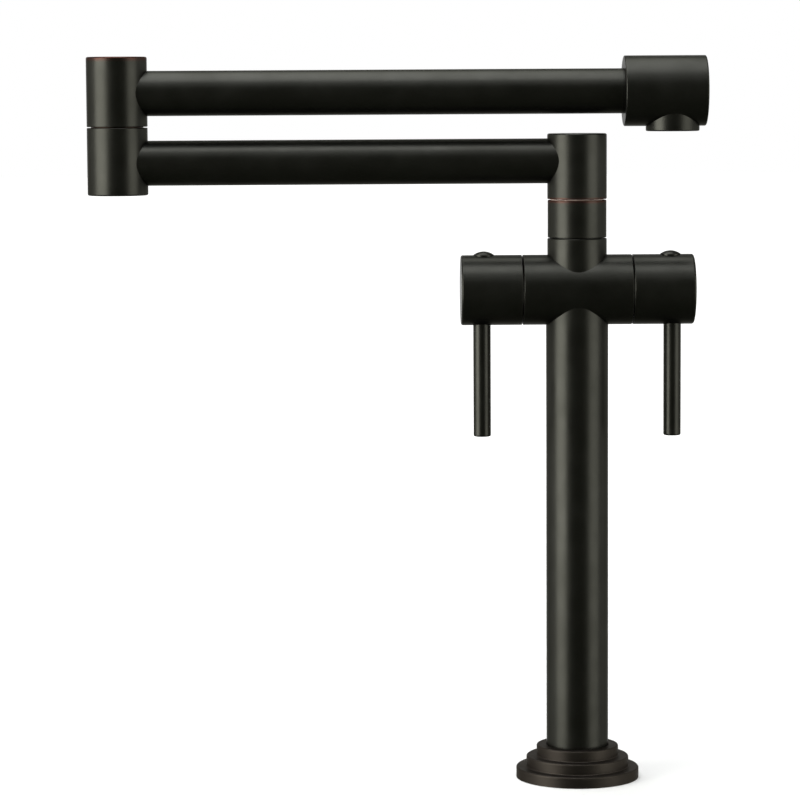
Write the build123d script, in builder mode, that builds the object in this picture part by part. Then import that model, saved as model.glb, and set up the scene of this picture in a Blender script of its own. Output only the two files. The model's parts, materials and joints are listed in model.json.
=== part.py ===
from build123d import *
from math import cos, isclose, pi, sin, sqrt
import os

# Deck-mounted sink mixer with two lever valves on a tall column and a double-jointed
# folding spout, shown folded with the upper arm lying back over the lower one.
# Millimetres. The origin is on the column axis at the deck surface, +Z is up, +X points
# from the column towards the folded nozzle, and the user stands at -Y.

os.makedirs("parts", exist_ok=True)

# Clearances
running_clearance = 0.05  # radial, for pieces that turn in each other
thread_clearance = 0.05  # radial, between a plain thread envelope and its hole
braze_gap = 0.03  # around brazed joints
seal_clearance = 0.03  # between a seal and the walls it bears on
disc_play = 0.02  # between the two lapped ceramic discs
match_tolerance = 0.001  # for finding an edge by its size

# Column, flange and fixing under the deck
column_diameter = 32.0
column_wall = 2.0
flange_base_diameter = 63.6
flange_middle_diameter = 53.0
flange_top_diameter = 42.4
flange_tier_height = 5.7
flange_rim_radius = 0.8
flange_cove_radius = 0.6
flange_bore_clearance = 0.25
flange_gasket_inner_diameter = 37.0
flange_gasket_outer_diameter = 56.0
flange_gasket_thickness = 1.5
column_seal_section = 2.0
column_seal_height = 13.0
shank_bore_diameter = 24.0
shank_engagement = 20.0
shank_drop = 60.0
shank_lead_chamfer = 1.0
deck_thickness = 30.0
clamp_gasket_diameter = 48.0
clamp_gasket_thickness = 3.0
clamp_washer_diameter = 50.0
clamp_washer_thickness = 2.0
lock_nut_across_flats = 36.0
lock_nut_height = 9.0
lock_nut_chamfer = 1.2

# Mixer body: barrel, neck and the inlet boss inside the column
barrel_height = 254.0
barrel_diameter = 36.0
barrel_length = 56.0
seam_radius = 0.4
seam_gap = 0.45
neck_diameter = 30.5
neck_rise = 26.4
nipple_diameter = 26.0
nipple_height = 12.6
socket_diameter = 21.6
socket_depth = 16.0
outlet_diameter = 11.0
seat_bore_diameter = 9.0
boss_drop = 32.0
boss_clearance = 0.1
port_spacing = 14.0
port_diameter = 9.0
port_depth = 11.0
passage_spacing = 18.0
passage_diameter = 4.8
passage_overrun = 1.5

# Neck collar, the round union nut that holds the spout down
collar_diameter = 30.2
collar_height = 19.2
collar_lip = 3.0

# Swivel washers, seals and retaining ring
slip_gap = 0.5
slip_washer_thickness = 1.2
slip_washer_diameter = 26.8
slip_washer_play = 0.05
o_ring_section = 2.1
o_ring_groove_play = 0.25
o_ring_lead = 2.6
o_ring_pitch = 5.2
split_ring_slit = 2.0
split_ring_grip = 1.0
split_ring_play = 0.1

# Lower arm
arm_diameter = 23.0
arm_wall = 1.5
lower_arm_length = 235.0
neck_hub_diameter = 30.5
neck_hub_height = 33.5
neck_hub_axis_rise = 19.5
elbow_diameter = 31.0
hub_wall = 3.0
hub_ceiling = 2.0
hub_rim_radius = 0.9
neck_spigot_bore = 14.0
neck_spigot_end_gap = 1.0
spigot_thread_length = 6.0
elbow_lower_drop = 16.3
elbow_lower_rise = 18.15
elbow_bearing_length = 10.6
plug_height = 3.6
plug_seal_section = 1.6
plug_key_spacing = 14.0
plug_key_diameter = 3.0
plug_key_depth = 1.6

# Upper arm
upper_arm_length = 284.0
elbow_upper_drop = 16.85
elbow_upper_rise = 18.7
elbow_spigot_diameter = 18.0
elbow_spigot_bore = 10.8
elbow_thread_diameter = 15.6
elbow_nut_diameter = 21.0
elbow_nut_height = 3.8
elbow_nut_slot = 3.0
thrust_washer_thickness = 1.2
thrust_washer_diameter = 23.0
thrust_play = 0.15

# Nozzle head and aerator
head_diameter = 36.0
head_length = 42.1
head_nozzle_setback = 25.1
head_wall = 3.0
head_rim_radius = 0.7
nozzle_diameter = 27.5
nozzle_drop = 20.6
nozzle_rim_radius = 0.8
aerator_diameter = 24.0
aerator_height = 6.0
aerator_recess = 0.5
aerator_wall = 1.3
aerator_ledge = 0.8
aerator_key_count = 4
aerator_key_width = 2.2
aerator_key_depth = 1.0
aerator_seal_thickness = 1.6
aerator_seal_width = 2.2
honeycomb_height = 3.6
honeycomb_pitch = 2.9
honeycomb_web = 0.5
honeycomb_rows = 3
screen_thickness = 0.5
screen_pitch = 2.6
screen_hole = 1.7

# Quarter-turn ceramic cartridges, with distances out along the barrel axis
seat_distance = 8.0
cartridge_bore_diameter = 20.9
relief_diameter = 23.0
relief_margin = 1.5
skirt_diameter = 18.8
disc_diameter = 16.0
seat_seal_height = 1.8
fixed_disc_height = 3.0
moving_disc_height = 2.5
water_port_inner_diameter = 3.6
water_port_outer_diameter = 12.4
water_port_angle = 80.0
drive_depth = 1.0
drive_width = 4.0
fork_height = 2.7
fork_inset = 0.6
stem_flange_height = 1.4
stem_washer_height = 0.6
stem_diameter = 10.8
stem_seal_section = 1.6
stem_seal_lead = 3.0
stem_seal_pitch = 4.5
bonnet_seal_height = 1.0
bonnet_seal_diameter = 25.0
bonnet_across_flats = 22.0
bonnet_hex_height = 4.5
bonnet_sleeve_diameter = 14.0
bonnet_sleeve_height = 5.0
window_width = 7.0
stop_root_diameter = 8.2
stop_height = 2.4
stop_root_overlap = 0.3
stop_angle = 90.0
stop_margin = 2.0
clip_groove_diameter = 6.8
clip_height = 0.9
clip_diameter = 12.0
clip_opening = 70.0
spline_outer_diameter = 8.0
spline_root_diameter = 7.2
spline_clearance = 0.05
spline_teeth = 20
spline_length = 11.0

# Handles
handle_diameter = 36.0
handle_length = 31.4
handle_wall = 2.5
handle_end_wall = 2.8
handle_rim_radius = 1.1
handle_boss_diameter = 15.0
handle_boss_clearance = 1.6
handle_socket_clearance = 0.8
lever_setback = 10.85
lever_reach = 75.5
lever_diameter = 9.0
lever_tip_radius = 0.8
lever_thread_diameter = 6.0
lever_thread_web = 0.6
button_setback = 11.85
button_diameter = 10.6
button_crown = 1.9
button_edge = 0.1
button_stem_diameter = 6.0
button_stem_length = 5.0
grub_diameter = 5.0
grub_length = 6.0
grub_key_across_flats = 2.5
grub_key_depth = 2.5
grub_point_gap = 0.15

# Heights and radii that follow
column_radius = column_diameter / 2
column_bore_radius = column_radius - column_wall
shank_radius = column_bore_radius - thread_clearance
barrel_radius = barrel_diameter / 2
barrel_half = barrel_length / 2
boss_bottom = barrel_height - boss_drop
port_top = boss_bottom + port_depth
neck_top = barrel_height + neck_rise
nipple_top = neck_top + nipple_height
nipple_radius = nipple_diameter / 2
socket_radius = socket_diameter / 2
socket_bottom = nipple_top - socket_depth
collar_radius = collar_diameter / 2
collar_bottom = neck_top + seam_gap
collar_top = collar_bottom + collar_height
lip_bottom = collar_top - collar_lip
slip_washer_radius = slip_washer_diameter / 2
slip_recess = slip_washer_thickness + slip_washer_play - slip_gap
arm_radius = arm_diameter / 2
neck_hub_bottom = collar_top + slip_gap
neck_hub_top = neck_hub_bottom + neck_hub_height
neck_hub_radius = neck_hub_diameter / 2
lower_arm_height = neck_hub_bottom + neck_hub_axis_rise
elbow_x = -lower_arm_length
elbow_radius = elbow_diameter / 2
elbow_bottom = lower_arm_height - elbow_lower_drop
elbow_joint = lower_arm_height + elbow_lower_rise
bearing_bottom = elbow_joint - elbow_bearing_length
elbow_upper_bottom = elbow_joint + slip_gap
upper_arm_height = elbow_upper_bottom + elbow_upper_drop
elbow_top = upper_arm_height + elbow_upper_rise
neck_bore_radius = neck_hub_radius - hub_wall
elbow_bore_radius = elbow_radius - hub_wall
neck_spigot_radius = socket_radius - running_clearance
elbow_spigot_radius = elbow_spigot_diameter / 2
elbow_bearing_radius = elbow_spigot_radius + running_clearance
groove_width = o_ring_section + o_ring_groove_play
nozzle_x = elbow_x + upper_arm_length
head_left = nozzle_x - head_nozzle_setback
head_radius = head_diameter / 2
nozzle_bottom = upper_arm_height - nozzle_drop
aerator_bottom = nozzle_bottom + aerator_recess
aerator_top = aerator_bottom + aerator_height
aerator_seat = aerator_top + aerator_seal_thickness + seal_clearance
aerator_radius = aerator_diameter / 2 - thread_clearance
insert_radius = aerator_radius - aerator_wall - seal_clearance
insert_bottom = aerator_bottom + aerator_key_depth
screen_bottom = insert_bottom + honeycomb_height + seal_clearance
disc_radius = disc_diameter / 2
stem_radius = stem_diameter / 2
stem_bore_radius = stem_radius + running_clearance
fixed_disc_start = seat_distance + seat_seal_height
moving_disc_start = fixed_disc_start + fixed_disc_height + disc_play
fork_start = moving_disc_start + moving_disc_height
stem_flange_start = fork_start + fork_height
stem_washer_start = stem_flange_start + stem_flange_height + seal_clearance
disc_chamber_end = stem_washer_start + stem_washer_height + seal_clearance
bonnet_start = barrel_half + bonnet_seal_height
sleeve_start = bonnet_start + bonnet_hex_height
bonnet_end = sleeve_start + bonnet_sleeve_height
stop_start = bonnet_end - stop_height
clip_start = bonnet_end + running_clearance
spline_start = clip_start + clip_height + running_clearance
stem_end = spline_start + spline_length
handle_radius = handle_diameter / 2
handle_start = barrel_half + seam_gap
handle_end = handle_start + handle_length
lever_offset = handle_end - lever_setback
button_offset = handle_end - button_setback
handle_cavity_radius = handle_radius - handle_wall
handle_boss_radius = handle_boss_diameter / 2
handle_boss_start = spline_start + handle_boss_clearance


def save(piece, name):
    """Label a finished piece and write it as its own STEP file."""
    piece.part.label = name
    export_step(piece.part, f"parts/{name}.step")


def upright(x, height):
    """A level plane at this height, centred on a vertical axis at x."""
    return Plane(origin=(x, 0, height), x_dir=(1, 0, 0), z_dir=(0, 0, 1))


def across(x, height):
    """A plane facing +X, centred on a horizontal axis at this height."""
    return Plane(origin=(x, 0, height), x_dir=(0, 0, 1), z_dir=(1, 0, 0))


def valve_plane(side, distance):
    """A plane facing out along the barrel axis on one side, with its x axis upwards."""
    return Plane(origin=(side * distance, 0, barrel_height), x_dir=(0, 0, 1), z_dir=(side, 0, 0))


def circles(piece, radius, height):
    """The round edges of a vertical piece with this radius at this height."""
    rounds = piece.edges().filter_by(GeomType.CIRCLE)
    level = rounds.filter_by(lambda e: isclose(e.arc_center.Z, height, abs_tol=match_tolerance))
    return level.filter_by(lambda e: isclose(e.radius, radius, abs_tol=match_tolerance))


def cylinder(plane, radius, length, mode=Mode.ADD):
    """A cylinder from the plane along its normal, in the piece being built."""
    with BuildSketch(plane) as section:
        Circle(radius)
    extrude(section.sketch, amount=length, mode=mode)


def groove(plane, outer_radius, inner_radius, height):
    """Cut a ring-shaped groove into the piece being built."""
    with BuildSketch(plane) as section:
        Circle(outer_radius)
        Circle(inner_radius, mode=Mode.SUBTRACT)
    extrude(section.sketch, amount=height, mode=Mode.SUBTRACT)


def turn(plane, profile):
    """Turn (radius, distance) points about the plane's normal, in the piece being built."""
    with BuildSketch(Plane(plane.origin, x_dir=plane.x_dir, z_dir=-plane.y_dir)) as section:
        with BuildLine():
            Polyline(*profile, close=True)
        make_face()
    revolve(section.sketch, axis=Axis(plane.origin, plane.z_dir))


def ring(plane, outer_radius, inner_radius, height):
    """A flat ring that stands on the plane."""
    with BuildPart() as piece:
        with BuildSketch(plane):
            Circle(outer_radius)
            Circle(inner_radius, mode=Mode.SUBTRACT)
        extrude(amount=height)
    return piece


def o_rings(plane, ring_radius, section_diameter, distances):
    """Round-section rings about the plane's normal, at these distances from the plane."""
    with BuildPart() as piece:
        with BuildSketch(Plane(plane.origin, x_dir=plane.x_dir, z_dir=-plane.y_dir)):
            with Locations(*[(ring_radius, distance) for distance in distances]):
                Circle(section_diameter / 2)
        revolve(axis=Axis(plane.origin, plane.z_dir))
    return piece


def arc_band(plane, inner_radius, outer_radius, start, angle):
    """A flat band of a ring, from a start angle in degrees."""
    with BuildSketch(plane) as band:
        with BuildLine():
            outer = CenterArc((0, 0), outer_radius, start, angle)
            inner = CenterArc((0, 0), inner_radius, start, angle)
            Line(outer @ 0, inner @ 0)
            Line(outer @ 1, inner @ 1)
        make_face()
    return band.sketch


# Deck flange: three turned tiers with rounded rims and small coves between them
with BuildPart() as deck_flange:
    tier_diameters = (flange_base_diameter, flange_middle_diameter, flange_top_diameter)
    for tier, diameter in enumerate(tier_diameters):
        cylinder(upright(0, tier * flange_tier_height), diameter / 2, flange_tier_height)
    for tier, diameter in enumerate(tier_diameters):
        fillet(circles(deck_flange, diameter / 2, (tier + 1) * flange_tier_height), flange_rim_radius)
    for tier, diameter in enumerate(tier_diameters[1:]):
        fillet(circles(deck_flange, diameter / 2, (tier + 1) * flange_tier_height), flange_cove_radius)
    flange_bore_radius = column_radius + flange_bore_clearance
    flange_height = len(tier_diameters) * flange_tier_height
    cylinder(Plane.XY, flange_bore_radius, flange_height, Mode.SUBTRACT)
    groove(Plane.XY, flange_gasket_outer_diameter / 2 + seal_clearance,
           flange_gasket_inner_diameter / 2 - seal_clearance, flange_gasket_thickness)
    seal_groove_width = column_seal_section + 2 * seal_clearance
    groove(Plane.XY.offset(column_seal_height - seal_groove_width / 2),
           column_radius + seal_groove_width, column_radius, seal_groove_width)
save(deck_flange, "deck_flange")

# Soft gasket in the recess under the flange
flange_gasket = ring(Plane.XY, flange_gasket_outer_diameter / 2, flange_gasket_inner_diameter / 2,
                     flange_gasket_thickness - seal_clearance)
save(flange_gasket, "flange_gasket")

# Rubber ring that centres the flange on the column
column_seal = o_rings(Plane.XY, column_radius + column_seal_section / 2 + seal_clearance,
                      column_seal_section, [column_seal_height])
save(column_seal, "column_seal")

# Column tube, coped at its top to sit against the round barrel
with BuildPart() as column_tube:
    with BuildSketch():
        Circle(column_radius)
        Circle(column_bore_radius, mode=Mode.SUBTRACT)
    extrude(amount=barrel_height)
    cylinder(across(-barrel_half, barrel_height), barrel_radius + braze_gap, barrel_length, Mode.SUBTRACT)
save(column_tube, "column_tube")

# Hollow threaded shank, screwed up into the column and down through the deck hole
with BuildPart() as mounting_shank:
    cylinder(Plane.XY.offset(-shank_drop), shank_radius, shank_drop + shank_engagement)
    chamfer(circles(mounting_shank, shank_radius, -shank_drop), shank_lead_chamfer)
    cylinder(Plane.XY.offset(-shank_drop), shank_bore_diameter / 2, shank_drop + shank_engagement,
             Mode.SUBTRACT)
save(mounting_shank, "mounting_shank")

# Rubber washer, steel washer and lock nut that clamp the deck from below
clamp_bore_radius = shank_radius + thread_clearance
clamp_gasket_bottom = -deck_thickness - clamp_gasket_thickness
clamp_washer_bottom = clamp_gasket_bottom - clamp_washer_thickness
lock_nut_bottom = clamp_washer_bottom - lock_nut_height
under_deck_gasket = ring(Plane.XY.offset(clamp_gasket_bottom), clamp_gasket_diameter / 2,
                         clamp_bore_radius, clamp_gasket_thickness)
save(under_deck_gasket, "under_deck_gasket")
under_deck_washer = ring(Plane.XY.offset(clamp_washer_bottom), clamp_washer_diameter / 2,
                         clamp_bore_radius, clamp_washer_thickness)
save(under_deck_washer, "under_deck_washer")
with BuildPart() as lock_nut:
    with BuildSketch(Plane.XY.offset(lock_nut_bottom)):
        RegularPolygon(lock_nut_across_flats / 2, 6, major_radius=False)
    extrude(amount=lock_nut_height)
    with BuildSketch(Plane.XY.offset(lock_nut_bottom)):
        Circle(lock_nut_across_flats / sqrt(3) - lock_nut_chamfer)
    extrude(amount=lock_nut_height, taper=-60, mode=Mode.INTERSECT)
    cylinder(Plane.XY.offset(lock_nut_bottom), clamp_bore_radius, lock_nut_height, Mode.SUBTRACT)
save(lock_nut, "lock_nut")

# Mixer body: a brass casting with a barrel across, a neck up and an inlet boss down
with BuildPart() as mixer_body:
    cylinder(across(-barrel_half, barrel_height), barrel_radius, barrel_length)
    fillet(mixer_body.edges().filter_by(GeomType.CIRCLE), seam_radius)
    cylinder(upright(0, barrel_height), neck_diameter / 2, neck_rise)
    fillet(circles(mixer_body, neck_diameter / 2, neck_top), seam_radius)
    cylinder(upright(0, neck_top), nipple_radius, nipple_height)
    cylinder(upright(0, boss_bottom), column_bore_radius - boss_clearance, boss_drop)
    # Socket for the spout's spigot, the outlet below it, and the bore through both valve
    # seats where hot and cold water meet
    cylinder(upright(0, socket_bottom), socket_radius, socket_depth, Mode.SUBTRACT)
    cylinder(upright(0, barrel_height), outlet_diameter / 2, socket_bottom - barrel_height, Mode.SUBTRACT)
    cylinder(across(-seat_distance, barrel_height), seat_bore_diameter / 2, 2 * seat_distance,
             Mode.SUBTRACT)
    for side in (-1, 1):
        # Threaded cartridge bore with a relief that leads the water round the skirt
        cylinder(valve_plane(side, seat_distance), cartridge_bore_diameter / 2,
                 barrel_half - seat_distance, Mode.SUBTRACT)
        groove(valve_plane(side, seat_distance + relief_margin), relief_diameter / 2,
               skirt_diameter / 2, disc_chamber_end - seat_distance - relief_margin)
        # Threaded inlet port from below, and the passage on into the cartridge bore
        passage_top = barrel_height - cartridge_bore_diameter / 2 + passage_overrun
        cylinder(upright(side * port_spacing / 2, boss_bottom), port_diameter / 2, port_depth,
                 Mode.SUBTRACT)
        cylinder(upright(side * passage_spacing / 2, port_top), passage_diameter / 2,
                 passage_top - port_top, Mode.SUBTRACT)
save(mixer_body, "mixer_body")

# Neck collar: round union nut on the nipple, its lip over the spout's split ring
collar_bore_radius = nipple_radius + thread_clearance
lip_bore_radius = neck_spigot_radius + running_clearance
with BuildPart() as neck_collar:
    cylinder(upright(0, collar_bottom), collar_radius, collar_height)
    fillet(neck_collar.edges().filter_by(GeomType.CIRCLE), seam_radius)
    cylinder(upright(0, collar_bottom), collar_bore_radius, lip_bottom - collar_bottom, Mode.SUBTRACT)
    cylinder(upright(0, lip_bottom), lip_bore_radius, collar_lip, Mode.SUBTRACT)
    cylinder(upright(0, collar_top - slip_recess), slip_washer_radius + running_clearance, slip_recess,
             Mode.SUBTRACT)
save(neck_collar, "neck_collar")

# Slip washers that carry the arms at the neck and at the elbow
neck_slip_washer = ring(upright(0, collar_top - slip_recess + slip_washer_play / 2), slip_washer_radius,
                        lip_bore_radius, slip_washer_thickness)
save(neck_slip_washer, "neck_slip_washer")
elbow_slip_washer = ring(upright(elbow_x, elbow_joint - slip_recess + slip_washer_play / 2),
                         slip_washer_radius, elbow_bearing_radius, slip_washer_thickness)
save(elbow_slip_washer, "elbow_slip_washer")

# Neck spigot: hollow, screwed into the lower arm's hub and sealed in the body's socket
split_groove_bottom = nipple_top + split_ring_play
split_groove_top = lip_bottom - split_ring_play
spigot_end = socket_bottom + neck_spigot_end_gap
neck_seal_heights = [spigot_end + o_ring_lead, spigot_end + o_ring_lead + o_ring_pitch]
neck_seal_radius = socket_radius - seal_clearance - o_ring_section / 2
with BuildPart() as neck_spigot:
    hub_thread_radius = neck_bore_radius - thread_clearance
    thread_top = neck_hub_bottom + spigot_thread_length
    turn(Plane.XY, [
        (neck_spigot_bore / 2, spigot_end),
        (neck_spigot_radius, spigot_end),
        (neck_spigot_radius, split_groove_bottom),
        (neck_spigot_radius - split_ring_grip, split_groove_bottom),
        (neck_spigot_radius - split_ring_grip, split_groove_top),
        (neck_spigot_radius, split_groove_top),
        (neck_spigot_radius, neck_hub_bottom),
        (hub_thread_radius, neck_hub_bottom),
        (hub_thread_radius, thread_top),
        (neck_spigot_bore / 2, thread_top)])
    for height in neck_seal_heights:
        groove(upright(0, height - groove_width / 2), neck_spigot_radius,
               neck_seal_radius - groove_width / 2, groove_width)
save(neck_spigot, "neck_spigot")
neck_o_rings = o_rings(Plane.XY, neck_seal_radius, o_ring_section, neck_seal_heights)
save(neck_o_rings, "neck_o_rings")

# Split ring in the spigot's groove, trapped under the collar's lip
with BuildPart() as spout_split_ring:
    with BuildSketch(upright(0, split_groove_bottom + split_ring_play)):
        Circle(nipple_radius - thread_clearance)
        Circle(neck_spigot_radius - split_ring_grip + running_clearance, mode=Mode.SUBTRACT)
        with Locations((0, nipple_radius)):
            Rectangle(split_ring_slit, nipple_diameter, mode=Mode.SUBTRACT)
    extrude(amount=split_groove_top - split_groove_bottom - 2 * split_ring_play)
save(spout_split_ring, "spout_split_ring")


def arm_hole(axis_x, bore_radius, arm_height, reach):
    """The cutter for a brazed arm tube: its cylinder, outside the bore that it opens into."""
    with BuildPart() as cutter:
        cylinder(across(axis_x, arm_height), arm_radius + braze_gap, reach)
        cylinder(upright(axis_x, arm_height - arm_diameter), bore_radius - braze_gap, 2 * arm_diameter,
                 Mode.SUBTRACT)
    return cutter.part


def hub(axis_x, radius, levels, rims, hole):
    """A round hub bored out from below, with rounded rims and a side hole for its arm tube."""
    bottom, top, bore_top = levels
    with BuildPart() as piece:
        cylinder(upright(axis_x, bottom), radius, top - bottom)
        for height, rim_radius in zip((bottom, top), rims):
            fillet(circles(piece, radius, height), rim_radius)
        cylinder(upright(axis_x, bottom), radius - hub_wall, bore_top - bottom, Mode.SUBTRACT)
        add(hole, mode=Mode.SUBTRACT)
    return piece


def arm_tube(start_x, end_x, height):
    """A straight arm tube before its ends are coped."""
    with BuildPart() as piece:
        with BuildSketch(across(start_x, height)):
            Circle(arm_radius)
            Circle(arm_radius - arm_wall, mode=Mode.SUBTRACT)
        extrude(amount=end_x - start_x)
    return piece


# Lower arm: neck hub, tube coped to the bores at both ends, and the elbow's lower half
neck_arm_hole = arm_hole(0, neck_bore_radius, lower_arm_height, -neck_hub_radius)
lower_arm_neck_hub = hub(0, neck_hub_radius, (neck_hub_bottom, neck_hub_top, neck_hub_top - hub_ceiling),
                         (seam_radius, hub_rim_radius), neck_arm_hole)
save(lower_arm_neck_hub, "lower_arm_neck_hub")
with BuildPart() as lower_arm_tube:
    add(arm_tube(elbow_x, 0, lower_arm_height).part)
    for axis_x, bore_radius in ((elbow_x, elbow_bore_radius), (0, neck_bore_radius)):
        cylinder(upright(axis_x, lower_arm_height - arm_diameter), bore_radius, 2 * arm_diameter,
                 Mode.SUBTRACT)
save(lower_arm_tube, "lower_arm_tube")
lower_elbow_hole = arm_hole(elbow_x, elbow_bore_radius, lower_arm_height, elbow_radius)
with BuildPart() as lower_arm_elbow_hub:
    add(hub(elbow_x, elbow_radius, (elbow_bottom, elbow_joint, bearing_bottom),
            (hub_rim_radius, seam_radius), lower_elbow_hole).part)
    cylinder(upright(elbow_x, bearing_bottom), elbow_bearing_radius, elbow_bearing_length, Mode.SUBTRACT)
    cylinder(upright(elbow_x, elbow_joint - slip_recess), slip_washer_radius + running_clearance,
             slip_recess, Mode.SUBTRACT)
save(lower_arm_elbow_hub, "lower_arm_elbow_hub")

# Screwed plug that closes the elbow from below, with two key holes and a seal
plug_radius = elbow_bore_radius - thread_clearance
plug_groove_width = plug_seal_section + 2 * seal_clearance
plug_seal_height = elbow_bottom + plug_height - plug_seal_section
plug_seal_radius = elbow_bore_radius - seal_clearance - plug_seal_section / 2
with BuildPart() as elbow_plug:
    cylinder(upright(elbow_x, elbow_bottom), plug_radius, plug_height)
    groove(upright(elbow_x, plug_seal_height - plug_groove_width / 2), plug_radius,
           plug_seal_radius - plug_groove_width / 2, plug_groove_width)
    with BuildSketch(upright(elbow_x, elbow_bottom)):
        with Locations((-plug_key_spacing / 2, 0), (plug_key_spacing / 2, 0)):
            Circle(plug_key_diameter / 2)
    extrude(amount=plug_key_depth, mode=Mode.SUBTRACT)
save(elbow_plug, "elbow_plug")
elbow_plug_seal = o_rings(upright(elbow_x, 0), plug_seal_radius, plug_seal_section, [plug_seal_height])
save(elbow_plug_seal, "elbow_plug_seal")

# Elbow spigot: hollow, screwed into the upper arm's hub and turning in the lower one
elbow_shoulder = bearing_bottom - thrust_play
elbow_spigot_end = elbow_shoulder - thrust_washer_thickness - elbow_nut_height
elbow_seal_heights = [bearing_bottom + o_ring_lead, bearing_bottom + o_ring_lead + o_ring_pitch]
elbow_seal_radius = elbow_bearing_radius - seal_clearance - o_ring_section / 2
with BuildPart() as elbow_spigot:
    hub_thread_radius = elbow_bore_radius - thread_clearance
    thread_top = elbow_upper_bottom + spigot_thread_length
    turn(upright(elbow_x, 0), [
        (elbow_spigot_bore / 2, elbow_spigot_end),
        (elbow_thread_diameter / 2, elbow_spigot_end),
        (elbow_thread_diameter / 2, elbow_shoulder),
        (elbow_spigot_radius, elbow_shoulder),
        (elbow_spigot_radius, elbow_upper_bottom),
        (hub_thread_radius, elbow_upper_bottom),
        (hub_thread_radius, thread_top),
        (elbow_spigot_bore / 2, thread_top)])
    for height in elbow_seal_heights:
        groove(upright(elbow_x, height - groove_width / 2), elbow_spigot_radius,
               elbow_seal_radius - groove_width / 2, groove_width)
save(elbow_spigot, "elbow_spigot")
elbow_o_rings = o_rings(upright(elbow_x, 0), elbow_seal_radius, o_ring_section, elbow_seal_heights)
save(elbow_o_rings, "elbow_o_rings")

# Thrust washer and slotted nut on the spigot's lower end
thrust_washer_bottom = elbow_shoulder - thrust_washer_thickness
elbow_thread_bore = elbow_thread_diameter / 2 + thread_clearance
elbow_thrust_washer = ring(upright(elbow_x, thrust_washer_bottom), thrust_washer_diameter / 2,
                           elbow_thread_bore, thrust_washer_thickness)
save(elbow_thrust_washer, "elbow_thrust_washer")
with BuildPart() as elbow_retaining_nut:
    with BuildSketch(upright(elbow_x, elbow_spigot_end)):
        Circle(elbow_nut_diameter / 2)
        Circle(elbow_thread_bore, mode=Mode.SUBTRACT)
    extrude(amount=elbow_nut_height)
    with BuildSketch(upright(elbow_x, elbow_spigot_end)):
        Rectangle(elbow_nut_diameter, elbow_nut_slot)
        Rectangle(elbow_nut_slot, elbow_nut_diameter)
    extrude(amount=elbow_nut_height / 2, mode=Mode.SUBTRACT)
save(elbow_retaining_nut, "elbow_retaining_nut")

# Upper arm: the elbow's upper half and its tube, which runs into the nozzle head
upper_elbow_hole = arm_hole(elbow_x, elbow_bore_radius, upper_arm_height, elbow_radius)
upper_arm_elbow_hub = hub(elbow_x, elbow_radius, (elbow_upper_bottom, elbow_top, elbow_top - hub_ceiling),
                          (seam_radius, hub_rim_radius), upper_elbow_hole)
save(upper_arm_elbow_hub, "upper_arm_elbow_hub")
with BuildPart() as upper_arm_tube:
    add(arm_tube(elbow_x, head_left + head_wall, upper_arm_height).part)
    cylinder(upright(elbow_x, upper_arm_height - arm_diameter), elbow_bore_radius, 2 * arm_diameter,
             Mode.SUBTRACT)
save(upper_arm_tube, "upper_arm_tube")

# Nozzle head: a hollow drum across the end of the arm with the nozzle's boss below
with BuildPart() as head_chamber:
    cylinder(across(head_left + head_wall, upper_arm_height), head_radius - head_wall,
             head_length - 2 * head_wall)
    split(bisect_by=Plane.XY.offset(aerator_seat + head_wall / 2), keep=Keep.TOP)
with BuildPart() as nozzle_head:
    cylinder(across(head_left, upper_arm_height), head_radius, head_length)
    fillet(nozzle_head.edges().filter_by(GeomType.CIRCLE), head_rim_radius)
    cylinder(upright(nozzle_x, nozzle_bottom), nozzle_diameter / 2, nozzle_drop)
    fillet(circles(nozzle_head, nozzle_diameter / 2, nozzle_bottom), nozzle_rim_radius)
    add(head_chamber.part, mode=Mode.SUBTRACT)
    cylinder(across(head_left, upper_arm_height), arm_radius + braze_gap, head_wall, Mode.SUBTRACT)
    cylinder(upright(nozzle_x, nozzle_bottom), aerator_diameter / 2, aerator_seat - nozzle_bottom,
             Mode.SUBTRACT)
    cylinder(upright(nozzle_x, aerator_seat), aerator_radius - aerator_seal_width, head_wall,
             Mode.SUBTRACT)
save(nozzle_head, "nozzle_head")

# Aerator: threaded housing with key slots, honeycomb insert, screen and seal
with BuildPart() as aerator_housing:
    cylinder(upright(nozzle_x, aerator_bottom), aerator_radius, aerator_height)
    cylinder(upright(nozzle_x, insert_bottom), aerator_radius - aerator_wall,
             aerator_height - aerator_key_depth, Mode.SUBTRACT)
    with BuildSketch(upright(nozzle_x, aerator_bottom)):
        Circle(aerator_radius - aerator_wall - aerator_ledge)
        with PolarLocations(aerator_radius, aerator_key_count):
            Rectangle(2 * (aerator_wall + 2 * aerator_ledge), aerator_key_width)
    extrude(amount=aerator_key_depth, mode=Mode.SUBTRACT)
save(aerator_housing, "aerator_housing")
with BuildPart() as aerator_insert:
    cylinder(upright(nozzle_x, insert_bottom), insert_radius, honeycomb_height)
    with BuildSketch(upright(nozzle_x, insert_bottom)):
        for row in range(-honeycomb_rows, honeycomb_rows + 1):
            cells = 2 * honeycomb_rows + 1 - abs(row)
            with Locations((0, row * honeycomb_pitch * sqrt(3) / 2)):
                with GridLocations(honeycomb_pitch, 0, cells, 1):
                    RegularPolygon((honeycomb_pitch - honeycomb_web) / 2, 6, major_radius=False,
                                   rotation=30)
    extrude(amount=honeycomb_height, mode=Mode.SUBTRACT)
save(aerator_insert, "aerator_insert")
with BuildPart() as aerator_screen:
    with BuildSketch(upright(nozzle_x, screen_bottom)):
        Circle(insert_radius)
        screen_count = int(insert_radius * sqrt(2) / screen_pitch)
        with GridLocations(screen_pitch, screen_pitch, screen_count, screen_count):
            Rectangle(screen_hole, screen_hole, mode=Mode.SUBTRACT)
    extrude(amount=screen_thickness)
save(aerator_screen, "aerator_screen")
aerator_seal = ring(upright(nozzle_x, aerator_top), aerator_radius,
                    aerator_radius - aerator_seal_width, aerator_seal_thickness)
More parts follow.
